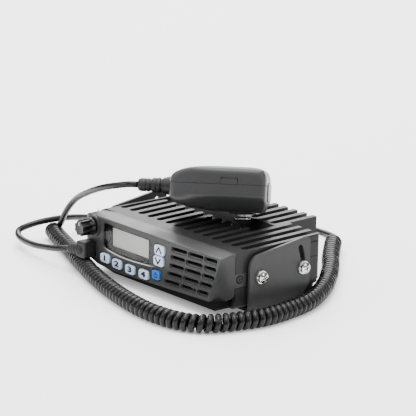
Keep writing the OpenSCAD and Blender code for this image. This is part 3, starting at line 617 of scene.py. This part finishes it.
def half_shell(name, top, z0):
    """One half of the microphone's case: the outer skin, a stepped rim that makes the joint line, and the inside."""
    bm = bmesh.new()
    vs = [bm.verts.new(v) for v in mic_v]
    for f in mic_f:
        bm.faces.new([vs[i] for i in f])
    bm.normal_update()
    cut = z0 + (0.16 if top else -0.16)
    geom = bm.verts[:] + bm.edges[:] + bm.faces[:]
    bmesh.ops.bisect_plane(bm, geom=geom, plane_co=(0, 0, cut), plane_no=(0, 0, 1), clear_inner=top, clear_outer=not top, dist=1e-4)
    inner = bmesh.ops.duplicate(bm, geom=bm.verts[:] + bm.edges[:] + bm.faces[:])
    vmap = inner["vert_map"]
    inside = [g for g in inner["geom"] if isinstance(g, bmesh.types.BMVert)]
    inside_f = [g for g in inner["geom"] if isinstance(g, bmesh.types.BMFace)]
    for v in inside:
        v.co = Vector((v.co.x * 0.925, v.co.y * 0.92, v.co.z * 0.86))
    bmesh.ops.reverse_faces(bm, faces=inside_f)
    outer_b = [ed for ed in bm.edges if ed.is_boundary and ed.verts[0] not in set(inside)]
    partner = {}
    for v in list(vmap.keys()):
        partner[v] = vmap[v]
    ring_v = set(v for ed in outer_b for v in ed.verts)
    for v in ring_v:
        partner[v].co.z = z0
    steps = [(0.997, cut - (0.05 if top else -0.05)), (0.988, z0 + (0.04 if top else -0.04)), (0.975, z0)]
    loops = [{v: v for v in ring_v}]
    for s, z in steps:
        loops.append({v: bm.verts.new((v.co.x * s, v.co.y * s, z)) for v in ring_v})
    loops.append({v: partner[v] for v in ring_v})
    for la, lb in zip(loops[:-1], loops[1:]):
        for ed in outer_b:
            p, q = ed.verts
            bm.faces.new((la[p], la[q], lb[q], lb[p]))
    bmesh.ops.transform(bm, matrix=MIC @ Matrix.Scale(MM, 4), verts=bm.verts)
    return bm_mesh(name, bm)


def cutter(name, bm):
    o = bpy.data.objects.new(name, bm_mesh(name, bm))
    home.objects.link(o)
    return o


def prism(points, lo, hi, axis="z", matrix=Matrix.Identity(4)):
    """A closed prism over points (millimetres) between two heights, as a bmesh in metres."""
    bm = bmesh.new()
    place = {"z": lambda p, h: (p[0], p[1], h), "y": lambda p, h: (p[0], h, p[1]), "x": lambda p, h: (h, p[0], p[1])}[axis]
    lo_v = [bm.verts.new(place(p, lo)) for p in points]
    hi_v = [bm.verts.new(place(p, hi)) for p in points]
    bm.faces.new(lo_v[::-1])
    bm.faces.new(hi_v)
    for i in range(len(points)):
        j = (i + 1) % len(points)
        bm.faces.new((lo_v[i], lo_v[j], hi_v[j], hi_v[i]))
    bmesh.ops.transform(bm, matrix=matrix @ Matrix.Scale(MM, 4), verts=bm.verts)
    return bm


def join_bm(bms):
    out = bmesh.new()
    for b in bms:
        me = bpy.data.meshes.new("tmp")
        b.to_mesh(me)
        b.free()
        out.from_mesh(me)
        bpy.data.meshes.remove(me)
    return out


def carve(obj, bms, name):
    """Cuts prisms out of a piece and leaves no modifier behind."""
    cut = cutter(name, join_bm(bms))
    mod = obj.modifiers.new("cut", "BOOLEAN")
    mod.operation = "DIFFERENCE"
    mod.solver = "EXACT"
    mod.use_self = True
    mod.object = cut
    dg = bpy.context.evaluated_depsgraph_get()
    me = bpy.data.meshes.new_from_object(obj.evaluated_get(dg))
    obj.modifiers.clear()
    old = obj.data
    obj.data = me
    bpy.data.meshes.remove(old)
    me2 = cut.data
    bpy.data.objects.remove(cut)
    bpy.data.meshes.remove(me2)
    me.materials.clear()
    me.shade_smooth()
    me.set_sharp_from_angle(angle=rad(40))
    return me


def rrect(x0, y0, x1, y1, r, n=5):
    return arc(x1 - r, y0 + r, r, -90, 0, n) + arc(x1 - r, y1 - r, r, 0, 90, n) + arc(x0 + r, y1 - r, r, 90, 180, n) + arc(x0 + r, y0 + r, r, 180, 270, n)


SPLIT = 2.5
front_shell = put("mic_front_case", half_shell("mic_front_case", True, SPLIT), "microphone", M["mic"], ["mic_front_shell"])
rear_shell = put("mic_rear_case", half_shell("mic_rear_case", False, SPLIT), "microphone", M["mic"], ["mic_rear_shell"])
talk_cut = lambda: prism(rrect(-10.3, -6.3, 20.3, 6.3, 2.0), 20, 32, "y", MIC)
end_cut = lambda: prism(rrect(-15.1, -9.1, 15.1, 5.1, 2.4), 34.2, 39, "x", MIC)
neck_cut = lambda: prism(arc(0, 0, 5.5, 0, 345, 23), -40, -28, "x", MIC)
hatch = [((2.9, 2.7), (3.6, 6.9)), ((3.6, 6.9), (14.4, 6.9)), ((14.4, 6.9), (15.5, 2.7))]


def groove(p, q, w, y0, y1):
    d = Vector((q[0] - p[0], q[1] - p[1])).normalized()
    n_ = Vector((-d.y, d.x)) * w / 2
    ex = d * w * 0.5
    pts = [(p[0] - ex.x + n_.x, p[1] - ex.y + n_.y), (p[0] - ex.x - n_.x, p[1] - ex.y - n_.y), (q[0] + ex.x - n_.x, q[1] + ex.y - n_.y), (q[0] + ex.x + n_.x, q[1] + ex.y + n_.y)]
    return prism(pts, y0, y1, "y", MIC)


slots = [prism(rrect(15 + i * 4 - 0.9, -8 + abs(i), 15 + i * 4 + 0.9, 8 - abs(i), 0.88, 4), 9, 20, "z", MIC) for i in range(-2, 3)]
carve(front_shell, [talk_cut(), end_cut(), neck_cut()] + slots, "cut_front")
carve(front_shell, [groove(*h, 0.6, -31, -27.4) for h in hatch], "cut_hatch")
front_shell.data.materials.append(M["mic"])
screw_cuts = [prism(arc(x, y, 2.6, 0, 345, 23), -19, -13.7, "z", MIC) for x, y in ((2, -11.5), (2, 11.5), (27, -11))]
carve(rear_shell, [talk_cut(), end_cut(), neck_cut()] + screw_cuts, "cut_rear")
rear_shell.data.materials.append(M["mic"])

# the end panel, a plate with rounded edges in its recess
bm = prism(rrect(-14.5, -8.5, 14.5, 4.5, 2.0), 34.3, 35.8, "x", MIC)
end_panel = put("mic_end_plate", bm_mesh("mic_end_plate", bm), "microphone", M["mic_end"], ["mic_end_panel"])
b = end_panel.modifiers.new("bevel", "BEVEL")
b.width = 0.35 * MM
b.segments = 3
b.limit_method = "ANGLE"
end_panel.data.set_sharp_from_angle(angle=rad(30))

# talk button with raised bars
bm = join_bm([prism(rrect(-9.8, -5.8, 19.8, 5.8, 1.7), 22.6, 28.4, "y", MIC)] + [prism(rrect(-5 + 5 * k - 0.9, -4.6, -5 + 5 * k + 0.9, 4.6, 0.85), 28.0, 29.1, "y", MIC) for k in range(5)])
talk = put("talk_button_bar", bm_mesh("talk_button_bar", bm), "talk_button", M["talk"], ["talk_button"])
b = talk.modifiers.new("bevel", "BEVEL")
b.width = 0.5 * MM
b.segments = 3
b.limit_method = "ANGLE"
b.angle_limit = rad(50)
talk.data.set_sharp_from_angle(angle=rad(40))

# strain relief of the microphone: a flared collar, a ribbed barrel and a ribbed end
relief = [(0.01, 28), (5.3, 28), (5.3, 33.4), (6.8, 33.5), (6.75, 34.4), (6.3, 36.4), (5.5, 39.2), (4.7, 39.9), (4.7, 40.8), (5.5, 41.4), (5.5, 43.3), (5.05, 43.6), (5.05, 44.2), (5.4, 44.5), (5.3, 46.6), (4.2, 47.3),
          (4.2, 48.2), (4.75, 48.8), (4.8, 50.6), (4.35, 50.9), (4.35, 51.4), (4.75, 51.7), (4.7, 54.4), (4.3, 56.3), (3.3, 57.1), (0.01, 57.2)]
put("mic_cord_relief", lathe("mic_cord_relief", smooth_profile(relief, 0.28), 72, None, MIC @ Matrix.Rotation(rad(-90), 4, "Y")), "microphone", M["rubber"], ["mic_strain_relief"])

# hanger button: its plate and its stud
hang = [(0.01, -14.4), (3.2, -14.6), (3.2, -19.4), (3.9, -20.0), (5.8, -20.0), (6.0, -20.5), (6.0, -21.4), (5.3, -22.2), (3.2, -22.4), (0.01, -22.4)]
plate_pts = rrect(7.6, -3, 26.4, 9, 2.2)
bm = prism(plate_pts, -17.6, -16.4, "z", MIC)
plate_me = bm_mesh("hanger_plate", bm)
stud = lathe("hanger_stud", smooth_profile(hang, 0.3), 64, None, MIC @ Matrix.Translation(Vector((17, 3, 0)) * MM))
put("hanger_plate", plate_me, "microphone", M["washer"], smooth=False)
bm = bmesh.new()
bm.from_mesh(stud)
hanger = put("hanger_stud_plate", bm_mesh("hanger_stud_plate", bm), "microphone", M["chrome"], ["hanger_button"])
hanger.data.set_sharp_from_angle(angle=rad(35))

# ---------------------------------------------------------------- plug boot
box_c = np.array([-65.0, -5.3, 13.2])
boot_v, boot_f = rounded_form([lambda d: gauge(rrect(-5.6, -6.2, 5.6, 6.2, 2.6, 6), d[:, 0], d[:, 2]), lambda d: gauge(rrect(-5.6, -5.1, 5.6, 5.1, 1.7, 5), d[:, 0], d[:, 1]),
                               lambda d: gauge(rrect(-5.1, -6.2, 5.1, 6.2, 1.7, 5), d[:, 1], d[:, 2])], 28, 20, (5.6, 5.1, 6.2))
boot_me = mesh_of("boot_block", [tuple(R(*(v + box_c))) for v in boot_v], boot_f)
axis = Vector((-80, -8, 10.5)) - Vector((-62.6, -8.0, 13.9))
q = axis.to_track_quat("Z", "Y").to_matrix().to_4x4()
boot_relief = [(0.01, 0), (1.6, 0.05), (3.1, 1.0), (3.9, 2.4), (4.0, 3.2), (3.5, 3.5), (3.5, 4.2), (4.1, 4.6), (4.1, 6.6), (3.45, 7.0), (3.45, 7.8), (4.0, 8.2), (4.0, 10.0), (3.35, 10.4), (3.35, 11.2), (3.9, 11.6),
               (3.85, 13.2), (3.25, 13.6), (3.25, 14.3), (3.7, 14.7), (3.6, 16.0), (3.2, 16.8), (2.9, 17.7), (0.01, 17.8)]
relief_me = lathe("boot_relief", smooth_profile(boot_relief, 0.25), 56, None, Matrix.Translation(R(-62.6, -8.0, 13.9)) @ q)
bm = bmesh.new()
bm.from_mesh(boot_me)
bm.from_mesh(relief_me)
boot = put("plug_boot_moulding", bm_mesh("plug_boot_moulding", bm), "radio", M["rubber"], ["plug_boot"])
nodes["plug_insert"].data.materials.clear()
nodes["plug_insert"].data.materials.append(M["tin"])

# ---------------------------------------------------------------- volume knob
FLUTES = 8


def flute(w, r, h):
    if r < 1.0:
        return r
    s = 0.5 + 0.5 * math.cos(w * FLUTES)
    deep = min(1.0, max(0.0, (s - 0.12) / 0.55)) ** 0.75
    k = 0.0
    if 2.0 < h < 11.3:
        k = min(1.0, (h - 2.0) / 0.8)
    elif h >= 11.3:
        k = max(0.0, 1 - (h - 11.3) / 0.7) if r > 4.6 else 0.0
    return r - 1.15 * deep * k


knob_prof = [(0.01, 0.0), (6.0, 0.0), (6.15, 0.15), (6.15, 1.3), (6.05, 1.6), (5.95, 1.8), (5.95, 2.0), (5.95, 2.5), (5.95, 3.0), (5.94, 5), (5.9, 7), (5.87, 9), (5.83, 10.4), (5.8, 10.9), (5.72, 11.2),
             (5.5, 11.5), (5.2, 11.65), (4.6, 11.7), (4.0, 11.55), (2.0, 11.4), (0.01, 11.35)]
KM = Matrix.Translation(R(-62.3, -1.9, 30.2)) @ Matrix.Rotation(rad(90), 4, "X")
knob = put("volume_knob_fluted", lathe("volume_knob_fluted", knob_prof, 240, flute, KM), "volume_knob", M["knob"], ["volume_knob"])
bm = prism([(-0.35, 2.0), (0.35, 2.0), (0.35, 4.6), (-0.35, 4.6)], 11.4, 11.76, "z", KM)
put("knob_pointer", bm_mesh("knob_pointer", bm), "volume_knob", M["pale_mark"], smooth=False)

# ---------------------------------------------------------------- CAD pieces with finished edges
chassis = refine("chassis", "radio", M["casting"], 0.28, 2)
# painted shade: the hollow behind the middle fins, under the microphone, and the chin under the panel take a near-black
# matt finish that stands for the shade falling there
chassis.data.materials.append(M["matte"])
for f_ in chassis.data.polygons:
    cs = [chassis.data.vertices[i_].co for i_ in f_.vertices]
    ys = [c_.y / MM + 55 for c_ in cs]
    zs = [c_.z / MM - 6.5 for c_ in cs]
    if (min(ys) > 59.3 and max(ys) < 79.2 and min(zs) > 33 and f_.normal.z > 0.3) or (max(ys) < 13.5 and max(zs) < 6.1):
        f_.material_index = 1
refine("front_panel", "radio", M["panel"], 0.22, 2, shape=shape_cheek)
refine("bracket", "bracket", M["steel_black"], 0.25, 2)
refine("bracket_bolts", "radio", M["chrome"], 0.18, 2)
refine("spacer_washers", "radio", M["washer"], 0.15, 1)
for k in ("key_up", "key_down", "key_1", "key_2", "key_3", "key_4"):
    refine(k, k, M["key"], 0.45, 3)
refine("key_power", "key_power", M["key_power"], 0.45, 3)
refine("antenna_connector", "radio", M["nickel"], 0.2, 2)
refine("power_socket", "radio", M["socket"], 0.25, 2)
refine("panel_screws", "radio", M["screw_black"], 0.1, 1)

finishes = {
    "bottom_cover": "cover", "cover_screws": "screw_black", "front_board": "board_dark", "key_switches": "switch", "volume_control": "metal",
    "volume_shaft": "metal", "mic_jack": "connector", "speaker_frame": "metal", "speaker_cone": "paper", "main_board": "board", "rf_shield": "tin",
    "power_module": "module", "antenna_screws": "metal", "antenna_insulator": "insulator", "antenna_contact": "brass", "speaker_jack": "connector",
    "lcd_module": "lcd", "talk_switch": "switch", "mic_board": "board", "mic_element": "metal", "hanger_screws": "chrome", "mic_case_screws": "screw_black",
}
for n_, m_ in finishes.items():
    nodes[n_].data.materials.clear()
    nodes[n_].data.materials.append(M[m_])

# ---------------------------------------------------------------- display: black printed border behind a clear lens
window = [(-51.5, 20)] + arc(-48.5, 19.3, 3, 185, 255, 5) + [(-38, 15.4), (-25, 15), (-10, 15.4), (-2, 16.1)] + arc(-1.4, 18.6, 2.6, 285, 360, 5) + \
    arc(-0.2, 32, 2.2, 0, 90, 5) + [(-20, 34.3), (-36, 34.6)] + arc(-49.5, 33, 2, 95, 180, 5)
bm = prism(window[::-1], 0.42, 1.55, "y", Matrix.Translation(R(0, 0, 0)))
lens = put("display_lens", bm_mesh("display_lens", bm), "radio", M["glass"], ["display_window"], smooth=False)
bm = prism(window[::-1], 1.6, 2.4, "y", Matrix.Translation(R(0, 0, 0)))
mask = put("display_border", bm_mesh("display_border", bm), "radio", M["mask"], smooth=False)
carve(mask, [prism(rrect(-43.4, 19.4, -2.6, 32.9, 0.8)[::-1], 0, 4, "y", Matrix.Translation(R(0, 0, 0)))], "cut_mask")
mask.data.materials.append(M["mask"])

# ---------------------------------------------------------------- key legends
def legend(name, body, text, x, z, size):
    cu = bpy.data.curves.new(name, "FONT")
    cu.body = text
    cu.size = size * MM
    cu.align_x = "CENTER"
    cu.align_y = "CENTER"
    cu.extrude = 0.03 * MM
    cu.offset = 0.00022
    tmp = bpy.data.objects.new(name + "_tmp", cu)
    home.objects.link(tmp)
    dg = bpy.context.evaluated_depsgraph_get()
    me = bpy.data.meshes.new_from_object(tmp.evaluated_get(dg))
    bpy.data.objects.remove(tmp)
    me.transform(Matrix.Translation(R(x, -1.0, z)) @ Matrix.Rotation(rad(90), 4, "X") @ Matrix.Diagonal((1.8, 1, 1, 1)))
    me.name = name
    return put(name, me, body, M["legend"], smooth=False)


def flat_mark(name, body, bms, mat):
    return put(name, bm_mesh(name, join_bm(bms)), body, mat, smooth=False)


for k, (x, z), text in (("key_1", (-48.8, 9.3), "1"), ("key_2", (-35.3, 8.2), "2"), ("key_3", (-20.7, 7.7), "3"), ("key_4", (-5.6, 7.9), "4")):
    legend("numeral_" + text, k, text, x, z, 5.4)


def strip(p, q, w, y0, y1):
    d = Vector((q[0] - p[0], q[1] - p[1])).normalized()
    n_ = Vector((-d.y, d.x)) * w / 2
    return prism([(p[0] + n_.x, p[1] + n_.y), (p[0] - n_.x, p[1] - n_.y), (q[0] - n_.x, q[1] - n_.y), (q[0] + n_.x, q[1] + n_.y)], y0, y1, "y", Matrix.Translation(R(0, 0, 0)))


flat_mark("chevron_up", "key_up", [strip((8.0, 27.2), (11.15, 31.6), 1.15, -1.06, -0.88), strip((13.8, 27.2), (10.65, 31.6), 1.15, -1.065, -0.885)], M["legend"])
flat_mark("chevron_down", "key_down", [strip((7.2, 23.5), (10.35, 19.1), 1.15, -1.06, -0.88), strip((13.0, 23.5), (9.85, 19.1), 1.15, -1.065, -0.885)], M["legend"])
ring_pts = [(8 + 1.75 * math.sin(rad(w)), 10.6 + 1.75 * math.cos(rad(w))) for w in range(40, 321, 20)]
flat_mark("power_mark", "key_power", [strip(p, q_, 0.6, -0.95 - 0.002 * i, -0.88) for i, (p, q_) in enumerate(zip(ring_pts[:-1], ring_pts[1:]))] + [strip((8, 10.8), (8, 13.0), 0.6, -0.99, -0.88)],
          M["legend"])

# ---------------------------------------------------------------- raised lip under the display, its light grey a painted highlight along its edge
lip = run([(-51.8, 0.0, 17.2), (-48.5, 0.0, 16.2), (-44.7, 0.0, 15.5), (-38, 0.0, 14.7), (-30.7, 0.0, 14.2), (-20, 0.0, 14.2), (-12.4, 0.0, 14.5), (-3, 0.0, 15.1), (2.5, 0.0, 15.7), (6.8, 0.0, 16.4)], 0.8)
lip[:, 1] = 0.12
taper = np.minimum(np.arange(len(lip)), np.arange(len(lip))[::-1]) / 10.0
put("display_lip_painted_highlight", tube_mesh("display_lip_painted_highlight", [tuple(R(*q_)) for q_ in lip], 0.44 * MM * np.clip(taper, 0.3, 1), 12), "radio", M["lip"])


# ---------------------------------------------------------------- skirt of the right rear corner, arched over the coil
skirt = put("rear_corner_skirt", bm_mesh("rear_corner_skirt", prism([(65.1, 75.2), (74.98, 75.2), (74.98, 88.3), (72.1, 91.2), (65.1, 91.2)], 0.05, 8.45, "z", Matrix.Translation(R(0, 0, 0)))),
            "radio", M["casting"])
along = Matrix.Translation(R(90, 69, 0.1)) @ Vector((-18, 30, 0)).to_track_quat("Z", "Y").to_matrix().to_4x4()
carve(skirt, [prism(arc(0, 0, 7.1, 0, 350, 35), -30, 60, "z", along)], "cut_skirt")
skirt.data.materials.append(M["casting"])

# ---------------------------------------------------------------- joint lines, painted shade rings in the screw recesses, and washers that also stand for the shadow round the bolt heads
BOLT_X = 78.7
seams = []
for sx in (-1, 1):
    x0, x1 = sorted((sx * 74.8, sx * 75.05))
    for (y0, y1, z0, z1) in ((13.2, 13.65, 25.2, 37.6), (13.2, 13.65, 5.5, 14.9), (13.2, 23.9, 24.95, 25.3), (13.2, 23.9, 14.7, 15.05), (23.55, 23.9, 14.8, 25.2)):
        seams.append(prism([(y0, z0), (y1, z0), (y1, z1), (y0, z1)], x0, x1, "x", Matrix.Translation(R(0, 0, 0))))
put("side_seams", bm_mesh("side_seams", join_bm(seams)), "radio", M["mask"], smooth=False)


def ring_x(name, sx, x, y, z, r0, r1, h, mat):
    """A flat ring about an axis across the radio, standing h proud of x."""
    m_ = Matrix.Translation(R(sx * x, y, z)) @ Matrix.Rotation(rad(90 * sx), 4, "Y")
    bm_ = bmesh.new()
    prof_ = [(r0, 0), (r0, h), (r0 + 0.05, h + 0.03), (r1 - 0.08, h + 0.03), (r1, h - 0.05), (r1, 0)]
    n = 64
    vs_ = [[bm_.verts.new(m_ @ (Vector((r * math.cos(2 * PI * k / n), r * math.sin(2 * PI * k / n), hh)) * MM)) for k in range(n)] for (r, hh) in prof_]
    for i_ in range(len(prof_)):
        for k in range(n):
            bm_.faces.new((vs_[i_][k], vs_[i_][(k + 1) % n], vs_[(i_ + 1) % len(prof_)][(k + 1) % n], vs_[(i_ + 1) % len(prof_)][k]))
    return put(name, bm_mesh(name, bm_), "radio", mat)


for sx, side_name in ((-1, "left"), (1, "right")):
    # painted shade: a dark ring round each ear screw stands for the shade in its recess
    ring_x("ear_screw_shade_ring_" + side_name, sx, 74.85, 17.3, 20.9, 2.0, 3.0, 0.2, M["mask"])
    for y_, which in ((33.6, "front"), (33.6 + 38.6, "rear")):
        # a dark washer under each bolt head, which also stands for the shadow outlining the head
        ring_x("lock_washer_and_shadow_" + side_name + "_" + which, sx, BOLT_X - 0.3, y_, 20.6, 3.0, 5.35, 0.55, M["washer"])


# ---------------------------------------------------------------- floor and light
def area(name, loc, target, size, power, size_y=None, color=(1, 1, 1)):
    d = bpy.data.lights.new(name, "AREA")
    d.energy = power
    d.size = size
    d.color = color
    if size_y:
        d.shape = "RECTANGLE"
        d.size_y = size_y
    o = bpy.data.objects.new(name, d)
    home.objects.link(o)
    o.location = loc
    o.rotation_mode = "QUATERNION"
    o.rotation_quaternion = (Vector(target) - Vector(loc)).to_track_quat("-Z", "Y")
    return o


floor_me = mesh_of("floor", [(-6, -6, 0), (6, -6, 0), (6, 6, 0), (-6, 6, 0)], [(0, 1, 2, 3)])
floor = bpy.data.objects.new("floor", floor_me)
home.objects.link(floor)
fm = material("floor_paper", (0.93, 0.93, 0.93), 0.7, vary=0.01, grain=0.02, gscale=300, bevel=0)
fp = fm.node_tree.nodes["Principled BSDF"]
fp.inputs["Emission Color"].default_value = (1, 1, 1, 1)
fp.inputs["Emission Strength"].default_value = 0.25
floor_me.materials.append(fm)

world = bpy.data.worlds.new("studio")
bpy.context.scene.world = world
world.use_nodes = True
wt = world.node_tree
wc = wt.nodes.new("ShaderNodeTexCoord")
ws = wt.nodes.new("ShaderNodeSeparateXYZ")
wr = wt.nodes.new("ShaderNodeMapRange")
wr.interpolation_type = "SMOOTHSTEP"
wr.inputs[1].default_value = 0.12
wr.inputs[2].default_value = 0.70
wr.inputs[3].default_value = 0.10
wr.inputs[4].default_value = 1.9
link(wt, wc.outputs["Generated"], ws.inputs[0])
link(wt, ws.outputs[2], wr.inputs[0])
link(wt, wr.outputs[0], wt.nodes["Background"].inputs[1])
wt.nodes["Background"].inputs[0].default_value = (1, 1, 1, 1)
area("top", (0.10, -0.20, 1.55), (0, 0.02, 0), 1.2, 38, 1.0)
area("back", (-1.25, 1.05, 0.80), (0, 0.02, 0.03), 1.3, 15, 0.5)
area("back_high", (-0.95, 0.82, 1.15), (0, -0.02, 0.03), 1.3, 27, 0.7)
area("front", (-0.9, -1.5, 1.0), (0, 0, 0.03), 0.8, 15, 0.7)
area("right", (1.6, 0.7, 0.8), (0, 0, 0.03), 0.6, 8, 0.5)
